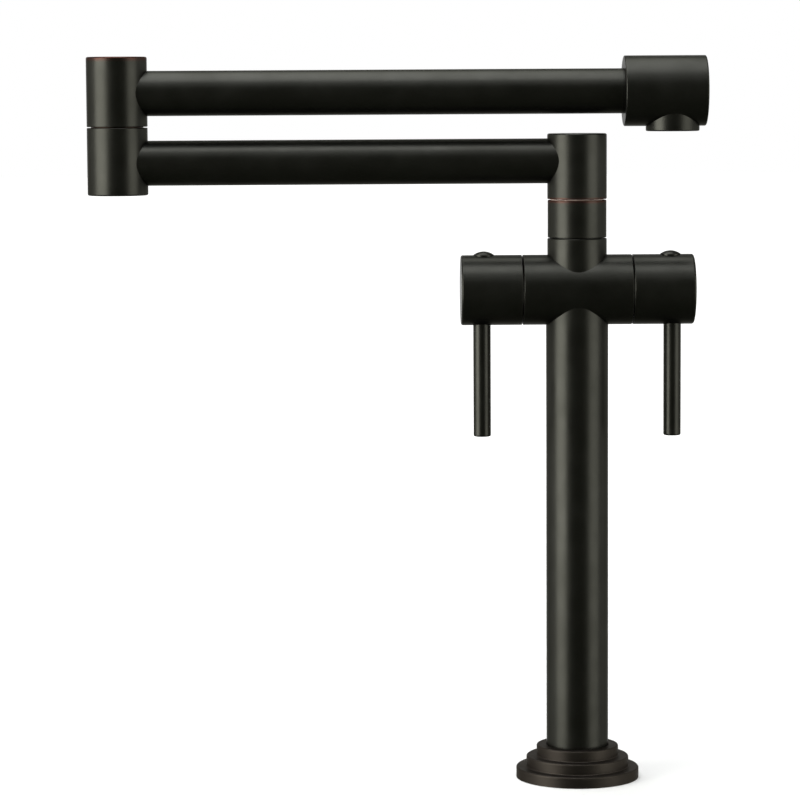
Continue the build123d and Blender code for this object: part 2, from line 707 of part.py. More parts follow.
save(aerator_seal, "aerator_seal")


def cartridge_housing(side):
    """Bonnet of a ceramic headwork: skirt round the discs, thread, hexagon and stem sleeve."""
    disc_bore_radius = disc_radius + running_clearance
    thread_radius = cartridge_bore_diameter / 2 - thread_clearance
    skirt_start = seat_distance + seat_seal_height / 2
    # The wall that stops the stem's lug stands where the lug never passes
    wall_start = 180 + stop_angle / 2 + stop_margin + (stop_angle if side < 0 else 0)
    wall_angle = 360 - 2 * stop_angle - 2 * stop_margin
    stop_wall = arc_band(valve_plane(side, stop_start), stop_root_diameter / 2 + running_clearance,
                         stem_bore_radius + stop_root_overlap, wall_start, wall_angle)
    with BuildPart() as piece:
        turn(valve_plane(side, 0), [
            (disc_bore_radius, skirt_start),
            (skirt_diameter / 2, skirt_start),
            (skirt_diameter / 2, disc_chamber_end),
            (thread_radius, disc_chamber_end),
            (thread_radius, bonnet_start),
            (bonnet_sleeve_diameter / 2, bonnet_start),
            (bonnet_sleeve_diameter / 2, bonnet_end),
            (stem_bore_radius, bonnet_end),
            (stem_bore_radius, disc_chamber_end),
            (disc_bore_radius, disc_chamber_end)])
        with BuildSketch(valve_plane(side, bonnet_start)):
            RegularPolygon(bonnet_across_flats / 2, 6, major_radius=False)
            Circle(stem_bore_radius + stop_root_overlap, mode=Mode.SUBTRACT)
        extrude(amount=bonnet_hex_height)
        # Side windows that let the water in behind the discs
        with BuildSketch(valve_plane(side, fork_start)):
            Rectangle(window_width, skirt_diameter + relief_diameter)
        extrude(amount=fork_height, mode=Mode.SUBTRACT)
        extrude(stop_wall, amount=stop_height)
    return piece


def ceramic_disc(side, start, height, port_turn):
    """A lapped disc with two opposite sector ports, turned to the given angle."""
    with BuildPart() as piece:
        cylinder(valve_plane(side, start), disc_radius, height)
        for centre in (port_turn, port_turn + 180):
            port = arc_band(valve_plane(side, start), water_port_inner_diameter / 2,
                            water_port_outer_diameter / 2, centre - water_port_angle / 2,
                            water_port_angle)
            extrude(port, amount=height, mode=Mode.SUBTRACT)
    return piece


def moving_disc(side):
    """The turning disc, its ports shut against the fixed ones, with the stem's drive slot."""
    with BuildPart() as piece:
        add(ceramic_disc(side, moving_disc_start, moving_disc_height, 0).part)
        with BuildSketch(valve_plane(side, fork_start - drive_depth)):
            Rectangle(drive_width + 2 * running_clearance, disc_diameter)
        extrude(amount=drive_depth, mode=Mode.SUBTRACT)
    return piece


def spline_outline(clearance):
    """The corner points of the splined stem's section, grown by a clearance."""
    points = []
    for step in range(2 * spline_teeth):
        diameter = spline_outer_diameter if step % 2 else spline_root_diameter
        radius = diameter / 2 + clearance
        angle = pi * step / spline_teeth
        points.append((radius * cos(angle), radius * sin(angle)))
    return points


stem_seal_distances = [disc_chamber_end + stem_seal_lead,
                       disc_chamber_end + stem_seal_lead + stem_seal_pitch]
stem_seal_radius = stem_bore_radius - seal_clearance - stem_seal_section / 2


def valve_stem(side):
    """Stem with its drive blade, flange, seal grooves, stop lug, clip groove and spline."""
    lug = arc_band(valve_plane(side, stop_start), stop_root_diameter / 2 - stop_root_overlap, stem_radius,
                   180 - stop_angle / 2, stop_angle)
    seal_groove_width = stem_seal_section + 2 * seal_clearance
    with BuildPart() as piece:
        turn(valve_plane(side, 0), [
            (0, stem_flange_start),
            (disc_radius - running_clearance, stem_flange_start),
            (disc_radius - running_clearance, stem_flange_start + stem_flange_height),
            (stem_radius, stem_flange_start + stem_flange_height),
            (stem_radius, stop_start),
            (stop_root_diameter / 2, stop_start),
            (stop_root_diameter / 2, clip_start),
            (clip_groove_diameter / 2, clip_start),
            (clip_groove_diameter / 2, spline_start),
            (0, spline_start)])
        with BuildSketch(valve_plane(side, fork_start - drive_depth + running_clearance)):
            Rectangle(drive_width, disc_diameter - 2 * fork_inset)
        extrude(amount=drive_depth - running_clearance + fork_height)
        extrude(lug, amount=stop_height)
        for distance in stem_seal_distances:
            groove(valve_plane(side, distance - seal_groove_width / 2), stem_radius,
                   stem_seal_radius - seal_groove_width / 2, seal_groove_width)
        with BuildSketch(valve_plane(side, spline_start)):
            Polygon(*spline_outline(0), align=None)
        extrude(amount=spline_length)
    return piece


def stem_clip(side):
    """Open retaining clip in the stem's groove, bearing on the end of the sleeve."""
    with BuildPart() as piece:
        clip = arc_band(valve_plane(side, clip_start), clip_groove_diameter / 2 + running_clearance,
                        clip_diameter / 2, clip_opening / 2, 360 - clip_opening)
        extrude(clip, amount=clip_height)
    return piece


def handle_hub(side):
    """Hollow drum with a splined boss, and holes for its lever, grub screw and button."""
    lever_x = side * lever_offset
    button_x = side * button_offset
    with BuildPart() as piece:
        cylinder(valve_plane(side, handle_start), handle_radius, handle_length)
        ends = piece.edges().filter_by(GeomType.CIRCLE).sort_by(Axis.X, reverse=side < 0)
        fillet(ends[0], seam_radius)
        fillet(ends[-1], handle_rim_radius)
        groove(valve_plane(side, handle_start), handle_cavity_radius, handle_boss_radius,
               handle_length - handle_end_wall)
        cylinder(valve_plane(side, handle_start), handle_boss_radius, handle_boss_start - handle_start,
                 Mode.SUBTRACT)
        with BuildSketch(valve_plane(side, handle_boss_start)):
            Polygon(*spline_outline(spline_clearance), align=None)
        extrude(amount=stem_end + handle_socket_clearance - handle_boss_start, mode=Mode.SUBTRACT)
        # Lever hole from below: full bore through the shell, threaded in the boss
        cylinder(upright(lever_x, barrel_height - handle_radius), lever_diameter / 2 + thread_clearance,
                 handle_radius - handle_boss_radius, Mode.SUBTRACT)
        cylinder(upright(lever_x, barrel_height - handle_boss_radius),
                 lever_thread_diameter / 2 + thread_clearance,
                 handle_boss_radius - spline_outer_diameter / 2 - lever_thread_web, Mode.SUBTRACT)
        # Button hole through the shell above, over the grub screw's hole in the boss
        cylinder(upright(button_x, barrel_height + handle_boss_radius),
                 button_stem_diameter / 2 + thread_clearance, handle_radius - handle_boss_radius,
                 Mode.SUBTRACT)
        cylinder(upright(button_x, barrel_height), grub_diameter / 2 + thread_clearance,
                 handle_boss_radius, Mode.SUBTRACT)
    return piece


def lever_rod(side):
    """Straight round lever with a rounded tip and a threaded end in the hub's boss."""
    lever_x = side * lever_offset
    lever_tip = barrel_height - lever_reach
    thread_end = spline_outer_diameter / 2 + lever_thread_web + thread_clearance
    with BuildPart() as piece:
        cylinder(upright(lever_x, lever_tip), lever_diameter / 2, lever_reach - handle_boss_radius)
        fillet(circles(piece, lever_diameter / 2, lever_tip), lever_tip_radius)
        cylinder(upright(lever_x, barrel_height - handle_boss_radius), lever_thread_diameter / 2,
                 handle_boss_radius - thread_end)
    return piece


def index_button(side):
    """Shallow domed button seated on the drum, with a stem that plugs the screw hole."""
    button_x = side * button_offset
    crown = button_crown - button_edge
    dome_radius = (button_diameter ** 2 / 4 + crown ** 2) / (2 * crown)
    with BuildPart() as piece:
        cylinder(upright(button_x, barrel_height), button_diameter / 2, handle_radius + button_crown)
        with Locations((button_x, 0, barrel_height + handle_radius + button_crown - dome_radius)):
            Sphere(dome_radius, mode=Mode.INTERSECT)
        cylinder(valve_plane(side, handle_start), handle_radius + braze_gap, handle_length, Mode.SUBTRACT)
        cylinder(upright(button_x, barrel_height + handle_radius - button_stem_length),
                 button_stem_diameter / 2, button_stem_length + button_edge)
    return piece


def grub_screw(side):
    """Hexagon-socket grub screw that locks the drum on the stem."""
    point = spline_outer_diameter / 2 + grub_point_gap
    with BuildPart() as piece:
        cylinder(upright(side * button_offset, barrel_height + point), grub_diameter / 2, grub_length)
        key_start = barrel_height + point + grub_length - grub_key_depth
        with BuildSketch(upright(side * button_offset, key_start)):
            RegularPolygon(grub_key_across_flats / 2, 6, major_radius=False)
        extrude(amount=grub_key_depth, mode=Mode.SUBTRACT)
    return piece


# One cartridge and one handle on each side, hot on the left and cold on the right
for side, name in ((-1, "hot"), (1, "cold")):
    seat_seal = ring(valve_plane(side, seat_distance), disc_radius, seat_bore_diameter / 2,
                     seat_seal_height)
    save(seat_seal, f"{name}_seat_seal")
    save(ceramic_disc(side, fixed_disc_start, fixed_disc_height, 90), f"{name}_fixed_disc")
    save(moving_disc(side), f"{name}_moving_disc")
    save(valve_stem(side), f"{name}_valve_stem")
    stem_washer = ring(valve_plane(side, stem_washer_start), disc_radius - running_clearance,
                       stem_bore_radius, stem_washer_height)
    save(stem_washer, f"{name}_stem_washer")
    stem_seals = o_rings(valve_plane(side, 0), stem_seal_radius, stem_seal_section, stem_seal_distances)
    save(stem_seals, f"{name}_stem_seals")
    save(stem_clip(side), f"{name}_stem_clip")
    save(cartridge_housing(side), f"{name}_cartridge_housing")
    bonnet_seal = ring(valve_plane(side, barrel_half), bonnet_seal_diameter / 2,
                       cartridge_bore_diameter / 2, bonnet_seal_height)
    save(bonnet_seal, f"{name}_bonnet_seal")
    save(handle_hub(side), f"{name}_handle_hub")
    save(lever_rod(side), f"{name}_lever_rod")
    save(index_button(side), f"{name}_index_button")
    save(grub_screw(side), f"{name}_grub_screw")
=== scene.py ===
import json
import math

import bmesh
import bpy
from mathutils import Matrix, Vector


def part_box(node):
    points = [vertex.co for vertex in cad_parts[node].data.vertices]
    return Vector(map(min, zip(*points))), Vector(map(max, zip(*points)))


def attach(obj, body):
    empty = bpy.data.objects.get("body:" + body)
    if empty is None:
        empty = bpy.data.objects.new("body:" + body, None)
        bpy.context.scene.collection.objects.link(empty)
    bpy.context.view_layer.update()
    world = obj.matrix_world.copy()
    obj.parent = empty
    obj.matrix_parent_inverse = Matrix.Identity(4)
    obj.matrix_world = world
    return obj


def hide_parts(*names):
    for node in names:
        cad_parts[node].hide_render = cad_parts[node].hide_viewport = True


# Dressing of a deck-mounted sink mixer with a folding spout, in oil-rubbed bronze.
# Lengths are in metres, and a size written as a number times MM is the real one.

MM = 0.001

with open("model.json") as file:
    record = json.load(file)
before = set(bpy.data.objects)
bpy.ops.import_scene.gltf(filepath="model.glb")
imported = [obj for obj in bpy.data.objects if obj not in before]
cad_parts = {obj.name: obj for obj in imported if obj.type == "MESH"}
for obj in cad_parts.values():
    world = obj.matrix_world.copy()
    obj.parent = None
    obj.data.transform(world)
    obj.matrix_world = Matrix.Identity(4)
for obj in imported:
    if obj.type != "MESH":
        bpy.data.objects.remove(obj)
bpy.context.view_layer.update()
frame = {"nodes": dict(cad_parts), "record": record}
nodes = frame["nodes"]
scene = bpy.context.scene


# Node trees

NOISE = "ShaderNodeTexNoise"
RANGE = "ShaderNodeMapRange"
MIX = "ShaderNodeMix"
MATH = "ShaderNodeMath"
VECTOR_MATH = "ShaderNodeVectorMath"
# The colour sockets of a Mix go by number, because its other sockets have the same names.
MIX_A, MIX_B, MIX_COLOR = 6, 7, 2


def add(tree, kind, inputs=None, **settings):
    """Add a node. An input takes a value, a socket, or a node, whose first output is linked."""
    node = tree.nodes.new(kind)
    for name, value in settings.items():
        setattr(node, name, value)
    feed(tree, node, inputs or {})
    return node


def feed(tree, node, inputs):
    """Set or link a node's inputs."""
    for name, value in inputs.items():
        if isinstance(value, bpy.types.Node):
            value = value.outputs[0]
        if isinstance(value, bpy.types.NodeSocket):
            tree.links.new(value, node.inputs[name])
        else:
            node.inputs[name].default_value = value


def linear(code):
    """The linear RGBA of an sRGB hex colour."""
    channels = [int(code[place:place + 2], 16) / 255 for place in (1, 3, 5)]
    return (*(c / 12.92 if c <= 0.04045 else ((c + 0.055) / 1.055) ** 2.4 for c in channels), 1.0)


def blobs(millimetres):
    """The scale of a noise whose blobs are about this far across."""
    return 1.0 / (millimetres * MM)


def blank(name):
    """A new material with its tree, its shader and the coordinates of the piece it is on."""
    material = bpy.data.materials.new(name)
    material.use_nodes = True
    tree = material.node_tree
    return material, tree, tree.nodes["Principled BSDF"], add(tree, "ShaderNodeTexCoord").outputs["Object"]


def two_toned(tree, place, across, dark, light):
    """A colour that drifts between a dark and a light tone, in clouds this many mm across."""
    cloud = add(tree, NOISE, {"Vector": place, "Scale": blobs(across), "Detail": 4.0})
    cloud = add(tree, RANGE, {"Value": cloud, "From Min": 0.35, "From Max": 0.65})
    tone = add(tree, MIX, {"Factor": cloud, MIX_A: linear(dark), MIX_B: linear(light)}, data_type="RGBA")
    return tone.outputs[MIX_COLOR]


# Finishes

# The darkest and the lightest tone of each.
PATINA = ("#2e2e2a", "#33332f")
FLANGE_PATINA = ("#2f2b27", "#37332e")
BRASS = ("#d4b681", "#e4c893")
# The dust-like flecks in the patina, and the plating below it.
FLECK = "#3c3b37"
RUBBED_PLATING = "#45261f"
# The least and the most roughness.
SATIN = (0.32, 0.39)
FLANGE_SATIN = (0.44, 0.52)
# An oiled patina doesn't brighten to white at a glancing angle as bare metal does.
GLANCING_TINT = (0.45, 0.45, 0.44, 1.0)
# How far in from the outside of a hub its rim's wear is full, and where it has ended.
RIM_WEAR_FULL = 0.6 * MM
RIM_WEAR_END = 1.6 * MM


def rubbed_rim(node, end, depth):
    """Where a round hub is rubbed: its axis, its radius, and the heights from none to full wear."""
    low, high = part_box(node)
    edge, inward = (high.z, -1) if end == "top" else (low.z, 1)
    return ((low.x + high.x) / 2, 0.0, 0.0), high.y, edge + inward * depth, edge


def rim_wear(tree, place, rim):
    """How far the patina is rubbed away at a rim, from 0 to 1, broken up by 6 mm patches."""
    axis, radius, unworn_height, worn_height = rim
    flat = add(tree, VECTOR_MATH, {0: place, 1: (1.0, 1.0, 0.0)}, operation="MULTIPLY")
    from_axis = add(tree, VECTOR_MATH, {0: flat, 1: axis}, operation="DISTANCE").outputs["Value"]
    outside = add(tree, RANGE, {"Value": from_axis, "From Min": radius - RIM_WEAR_END,
                                "From Max": radius - RIM_WEAR_FULL})
    height = add(tree, "ShaderNodeSeparateXYZ", {0: place}).outputs["Z"]
    near_edge = add(tree, RANGE, {"Value": height, "From Min": unworn_height, "From Max": worn_height})
    patch = add(tree, NOISE, {"Vector": place, "Scale": blobs(6), "Detail": 5.0})
    rubbed = add(tree, RANGE, {"Value": patch, "From Min": 0.3, "From Max": 0.6,
                               "To Min": 0.45, "To Max": 0.95})
    for mask in (outside, near_edge):
        rubbed = add(tree, MATH, {0: rubbed, 1: mask}, operation="MULTIPLY")
    return rubbed


def oil_rubbed_bronze(name, dark, light, satin=SATIN, rim=None, faced_ends=0.0):
    """Oil-rubbed bronze: plated brass, darkened with a patina, brushed satin and oiled.

    The eye gets a near-black metal with a soft grey sheen, cloudy by a few percent, with
    fine dust-like flecks. One rim may be rubbed down to the red-brown plating, and the ends
    of a drum that lies across may be as smooth as the lathe left them.
    """
    material, tree, shader, place = blank(name)
    patina = two_toned(tree, place, 26, dark, light)
    # The flecks are 0.3 mm grit in life, drawn 1.6 mm across so that they show.
    fleck = add(tree, NOISE, {"Vector": place, "Scale": blobs(1.6), "Detail": 3.0, "Roughness": 0.7})
    fleck = add(tree, RANGE, {"Value": fleck, "From Min": 0.62, "From Max": 0.78, "To Max": 0.3})
    patina = add(tree, MIX, {"Factor": fleck, MIX_A: patina, MIX_B: linear(FLECK)}, data_type="RGBA")
    patina = patina.outputs[MIX_COLOR]
    if rim:
        rubbed = rim_wear(tree, place, rim)
        patina = add(tree, MIX, {"Factor": rubbed, MIX_A: patina, MIX_B: linear(RUBBED_PLATING)},
                     data_type="RGBA")
        patina = patina.outputs[MIX_COLOR]
    # Satin: brushed by hand, so the gloss drifts over areas 11 mm across.
    brushed = add(tree, NOISE, {"Vector": place, "Scale": blobs(11), "Detail": 4.0})
    brushed = add(tree, RANGE, {"Value": brushed, "From Min": 0.3, "From Max": 0.7,
                                "To Min": satin[0], "To Max": satin[1]})
    if faced_ends:
        # The drum's axis is X, so its ends are where the surface faces along X.
        normal = add(tree, "ShaderNodeTexCoord").outputs["Normal"]
        across = add(tree, "ShaderNodeSeparateXYZ", {0: normal}).outputs["X"]
        across = add(tree, MATH, {0: across}, operation="ABSOLUTE")
        smoother = add(tree, RANGE, {"Value": across, "From Min": 0.8, "From Max": 0.98,
                                     "To Max": faced_ends})
        brushed = add(tree, MATH, {0: brushed, 1: smoother}, operation="SUBTRACT")
    # The grain of the brushed plating is 0.05 mm in life, drawn 0.7 mm across.
    grain = add(tree, NOISE, {"Vector": place, "Scale": blobs(0.7), "Detail": 2.0})
    feed(tree, shader, {
        "Base Color": patina,
        "Metallic": 0.96,
        "Roughness": brushed,
        "Specular Tint": GLANCING_TINT,
        "Normal": add(tree, "ShaderNodeBump", {"Height": grain, "Strength": 0.12, "Distance": 0.02 * MM}),
    })
    return material


def turned_metal(name, dark, light, roughness, along):
    """Bar turned on a lathe: bright metal with tool marks across the axis it was turned on.

    The marks are 0.1 mm apart in life, drawn 0.35 mm apart, and run on for 170 mm.
    """
    material, tree, shader, place = blank(name)
    stretch = [blobs(170)] * 3
    stretch["XYZ".index(along)] = blobs(0.35)
    marks = add(tree, "ShaderNodeMapping", {"Vector": place, "Scale": stretch})
    marks = add(tree, NOISE, {"Vector": marks, "Scale": 1.0, "Detail": 3.0, "Roughness": 0.6})
    gloss = add(tree, RANGE, {"Value": marks, "From Min": 0.3, "From Max": 0.7,
                              "To Min": roughness - 0.06, "To Max": roughness + 0.08})
    feed(tree, shader, {
        "Base Color": two_toned(tree, place, 14, dark, light),
        "Metallic": 1.0,
        "Roughness": gloss,
        "Normal": add(tree, "ShaderNodeBump", {"Height": marks, "Strength": 0.25, "Distance": 0.03 * MM}),
    })
    return material


def pressed(name, dark, light, roughness, grit, relief=0.15):
    """A moulded, fired or pressed piece: an even colour with a skin of grit, in mm."""
    material, tree, shader, place = blank(name)
    grain = add(tree, NOISE, {"Vector": place, "Scale": blobs(grit), "Detail": 3.0})
    gloss = add(tree, RANGE, {"Value": grain, "From Min": 0.3, "From Max": 0.7,
                              "To Min": roughness - 0.05, "To Max": roughness + 0.06})
    feed(tree, shader, {
        "Base Color": two_toned(tree, place, 8, dark, light),
        "Roughness": gloss,
        "Normal": add(tree, "ShaderNodeBump", {"Height": grain, "Strength": relief, "Distance": 0.02 * MM}),
    })
    return material


finishes = {
    "oil_rubbed_bronze": oil_rubbed_bronze("oil_rubbed_bronze", *PATINA),
    # Rims rubbed through to the plating: by hands at the elbow, by each other at the neck.
    "bronze_worn_elbow": oil_rubbed_bronze("bronze_worn_elbow", *PATINA,
                                           rim=rubbed_rim("upper_arm_elbow_hub", "top", 2.6 * MM)),
    "bronze_worn_neck_hub": oil_rubbed_bronze("bronze_worn_neck_hub", *PATINA,
                                              rim=rubbed_rim("lower_arm_neck_hub", "bottom", 1.2 * MM)),
    "bronze_worn_collar": oil_rubbed_bronze("bronze_worn_collar", *PATINA,
                                            rim=rubbed_rim("neck_collar", "top", 1.8 * MM)),
    # Drums faced on the lathe, so that their ends shine a little more than their sides.
    "bronze_faced_drum": oil_rubbed_bronze("bronze_faced_drum", *PATINA, faced_ends=0.11),
    "bronze_faced_head": oil_rubbed_bronze("bronze_faced_head", *PATINA, faced_ends=0.05),
    # The patina of the flange is browner and duller.
    "bronze_brown_flange": oil_rubbed_bronze("bronze_brown_flange", *FLANGE_PATINA, satin=FLANGE_SATIN),
    # Free-cutting brass bar, turned: a warm yellow, bright in streaks across its axis.
    "brass_turned_upright": turned_metal("brass_turned_upright", *BRASS, roughness=0.3, along="Z"),
    "brass_turned_across": turned_metal("brass_turned_across", *BRASS, roughness=0.3, along="X"),
    # Bearing bronze bar, turned: redder and duller than the brass; the elbow's washer is a near-black copy.
    "bearing_bronze_turned": turned_metal("bearing_bronze_turned", "#cea28c", "#e7c8b5",
                                          roughness=0.42, along="Z"),
    "bearing_bronze_near_black": turned_metal("bearing_bronze_near_black", "#2c241f", "#3a2e27",
                                         roughness=0.45, along="Z"),
    # Bearing bronze powder, pressed and sintered: pale, matt and a little pink.
    "bearing_bronze_sintered": pressed("bearing_bronze_sintered", "#ecd2c4", "#f4dfd2",
                                       roughness=0.75, grit=0.4, relief=0.3),
    # Stainless steel bar, turned: a cool grey shine.
    "stainless_steel": turned_metal("stainless_steel", "#bcbcbd", "#cececf", roughness=0.33, along="Z"),
    # Nitrile rubber, moulded: near-black and dull, with the grain of the mould.
    "nitrile_rubber": pressed("nitrile_rubber", "#232324", "#303031", roughness=0.75, grit=1.1, relief=0.3),
    # Alumina, fired and lapped: ivory white and glossy.
    "alumina_ceramic": pressed("alumina_ceramic", "#e7e6e2", "#eeede8",
                               roughness=0.22, grit=0.5, relief=0.05),
    # Acetal, injection-moulded: white with a soft gloss.
    "white_acetal": pressed("white_acetal", "#dfdfda", "#e9e9e5", roughness=0.5, grit=0.7),
}
SLOT_FINISH = {
    "oil_rubbed_bronze": "oil_rubbed_bronze",
    "bearing_bronze": "bearing_bronze_turned",
    "steel": "stainless_steel",
    "rubber": "nitrile_rubber",
    "ceramic": "alumina_ceramic",
    "white_plastic": "white_acetal",
}
NODE_FINISH = {
    "upper_arm_elbow_hub": "bronze_worn_elbow",
    "lower_arm_neck_hub": "bronze_worn_neck_hub",
    "neck_collar": "bronze_worn_collar",
    "hot_handle_hub": "bronze_faced_drum",
    "cold_handle_hub": "bronze_faced_drum",
    "nozzle_head": "bronze_faced_head",
    "deck_flange": "bronze_brown_flange",
    "elbow_slip_washer": "bearing_bronze_near_black",
    "neck_slip_washer": "bearing_bronze_sintered",
}
for entry in frame["record"]["subparts"]:
    node, material_slot = entry["node"], entry["material_slot"]
    if material_slot == "brass":
        finish = "brass_turned_across" if node.startswith(("hot_", "cold_")) else "brass_turned_upright"
    else:
        finish = NODE_FINISH.get(node, SLOT_FINISH[material_slot])
    nodes[node].data.materials.clear()
    nodes[node].data.materials.append(finishes[finish])


# Threaded shank

THREAD_PITCH = 2.0 * MM
THREAD_DEPTH = 1.0 * MM
# The flanks take up this share of the pitch, and flats at the crest and the root the rest.
FLANK_SHARE = 0.72
SHANK_BORE_RADIUS = 12.0 * MM
SHANK_SIDES = 72
SHANK_ROWS = 400
# Where the rolled-up grid meets itself, its points fall together within this distance.
MERGE_DISTANCE = 0.001 * MM

# How a point of the flat grid finds its place on the rod, step by step: the value's name,
# the operation, and what goes into it. The grid's rows 0 to Rows climb the outside, the
# next two are the two ends of the bore, and the last comes back to the first.
THREAD_STEPS = (
    ("turn", "ADD", "across", 0.5),
    ("part of the way", "ADD", "along", 0.5),
    ("last row", "ADD", "Rows", 3.0),
    ("row unrounded", "MULTIPLY", "part of the way", "last row"),
    ("row", "ROUND", "row unrounded"),
    ("climb uncapped", "DIVIDE", "row", "Rows"),
    ("climb", "MINIMUM", "climb uncapped", 1.0),
    ("between the bore's ends", "ADD", "Rows", 1.5),
    ("before the bottom", "LESS_THAN", "row", "between the bore's ends"),
    ("rising", "MULTIPLY", "climb", "before the bottom"),
    ("length", "SUBTRACT", "Top", "Bottom"),
    ("height", "MULTIPLY_ADD", "rising", "length", "Bottom"),
    ("pitches up", "DIVIDE", "height", "Pitch"),
    ("pitches along the helix", "SUBTRACT", "pitches up", "turn"),
    ("phase", "FRACT", "pitches along the helix"),
    ("from the crest", "MULTIPLY_ADD", "phase", 2.0, -1.0),
    ("towards the root", "ABSOLUTE", "from the crest"),
    ("flank unclamped", "MULTIPLY_ADD", "towards the root", -1 / FLANK_SHARE,
     (1 + FLANK_SHARE) / 2 / FLANK_SHARE),
    ("flank above zero", "MAXIMUM", "flank unclamped", 0.0),
    ("flank", "MINIMUM", "flank above zero", 1.0),
    ("depth", "SUBTRACT", "Crest Radius", "Root Radius"),
    ("thread radius", "MULTIPLY_ADD", "flank", "depth", "Root Radius"),
    ("lead radius at the bottom", "SUBTRACT", "Crest Radius", "Lead Chamfer"),
    ("above the bottom", "SUBTRACT", "height", "Bottom"),
    ("lead radius", "ADD", "lead radius at the bottom", "above the bottom"),
    ("outer radius", "MINIMUM", "thread radius", "lead radius"),
    ("bore's first", "ADD", "Rows", 0.5),
    ("bore's last", "ADD", "Rows", 2.5),
    ("past the outside", "GREATER_THAN", "row", "bore's first"),
    ("before the return", "LESS_THAN", "row", "bore's last"),
    ("in the bore", "MULTIPLY", "past the outside", "before the return"),
    ("step to the bore", "SUBTRACT", "Bore Radius", "outer radius"),
    ("radius", "MULTIPLY_ADD", "in the bore", "step to the bore", "outer radius"),
    ("angle", "MULTIPLY", "turn", 2 * math.pi),
    ("cosine", "COSINE", "angle"),
    ("sine", "SINE", "angle"),
    ("x", "MULTIPLY", "radius", "cosine"),
    ("y", "MULTIPLY", "radius", "sine"),
)


def thread_tree(metal):
    """A hollow threaded rod: a grid rolled up round Z, its outer rows on a helical ridge."""
    tree = bpy.data.node_groups.new("threaded_rod", "GeometryNodeTree")
    tree.interface.new_socket("Geometry", in_out="INPUT", socket_type="NodeSocketGeometry")
    for name in ("Crest Radius", "Root Radius", "Bore Radius", "Bottom", "Top", "Pitch", "Lead Chamfer"):
        tree.interface.new_socket(name, in_out="INPUT", socket_type="NodeSocketFloat")
    for name in ("Sides", "Rows"):
        tree.interface.new_socket(name, in_out="INPUT", socket_type="NodeSocketInt")
    tree.interface.new_socket("Geometry", in_out="OUTPUT", socket_type="NodeSocketGeometry")
    values = {socket.name: socket for socket in add(tree, "NodeGroupInput").outputs}
    columns = add(tree, MATH, {0: values["Sides"], 1: 1.0}, operation="ADD")
    lines = add(tree, MATH, {0: values["Rows"], 1: 4.0}, operation="ADD")
    grid = add(tree, "GeometryNodeMeshGrid", {"Size X": 1.0, "Size Y": 1.0, "Vertices X": columns,
                                              "Vertices Y": lines})
    spot = add(tree, "ShaderNodeSeparateXYZ", {0: add(tree, "GeometryNodeInputPosition")})
    values["across"], values["along"] = spot.outputs["X"], spot.outputs["Y"]
    for name, operation, *terms in THREAD_STEPS:
        inputs = {place: values.get(term, term) for place, term in enumerate(terms)}
        values[name] = add(tree, MATH, inputs, operation=operation).outputs[0]
    rolled = add(tree, "ShaderNodeCombineXYZ", {"X": values["x"], "Y": values["y"], "Z": values["height"]})
    shaped = add(tree, "GeometryNodeSetPosition", {"Geometry": grid, "Position": rolled})
    closed = add(tree, "GeometryNodeMergeByDistance", {"Geometry": shaped, "Distance": MERGE_DISTANCE})
    real = add(tree, "GeometryNodeRealizeInstances", {"Geometry": closed})
    dressed = add(tree, "GeometryNodeSetMaterial", {"Geometry": real, "Material": metal})
    add(tree, "NodeGroupOutput", {"Geometry": dressed})
    return tree


def settled(name, tree, sizes):
    """The plain mesh piece that a geometry tree makes with these sizes."""
    carrier = bpy.data.objects.new(name + "_carrier", bpy.data.meshes.new(name + "_carrier"))
    scene.collection.objects.link(carrier)
    modifier = carrier.modifiers.new("form", "NODES")
    modifier.node_group = tree
    for item in tree.interface.items_tree:
        if item.in_out == "INPUT" and item.name in sizes:
            modifier[item.identifier] = sizes[item.name]
    mesh = bpy.data.meshes.new_from_object(carrier.evaluated_get(bpy.context.evaluated_depsgraph_get()))
    bpy.data.objects.remove(carrier)
    mesh.name = name
    made = bmesh.new()
    made.from_mesh(mesh)
    bmesh.ops.recalc_face_normals(made, faces=made.faces)
    if made.calc_volume(signed=True) < 0:
        bmesh.ops.reverse_faces(made, faces=made.faces)
    made.to_mesh(mesh)
    made.free()
    mesh.shade_smooth()
    mesh.set_sharp_from_angle(angle=math.radians(35))
    piece = bpy.data.objects.new(name, mesh)
    scene.collection.objects.link(piece)
    return piece


shank_low, shank_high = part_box("mounting_shank")
threaded_shank = settled("threaded_shank", thread_tree(finishes["brass_turned_upright"]), {
    "Crest Radius": shank_high.x,
    "Root Radius": shank_high.x - THREAD_DEPTH,
    "Bore Radius": SHANK_BORE_RADIUS,
    "Bottom": shank_low.z,
    "Top": shank_high.z,
    "Pitch": THREAD_PITCH,
    "Lead Chamfer": THREAD_DEPTH,
    "Sides": SHANK_SIDES,
    "Rows": SHANK_ROWS,
})
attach(threaded_shank, "mixer")
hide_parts("mounting_shank")


# Floor

DECK_THICKNESS = 30 * MM
DECK_RADIUS = 12.0
TAP_HOLE_RADIUS = 17.5 * MM
DECK_SIDES = 96
# Within the lamps' light the board shows as it is, and further off it whitens for the camera.
LIT_RADIUS = 0.3
WHITE_RADIUS = 1.8


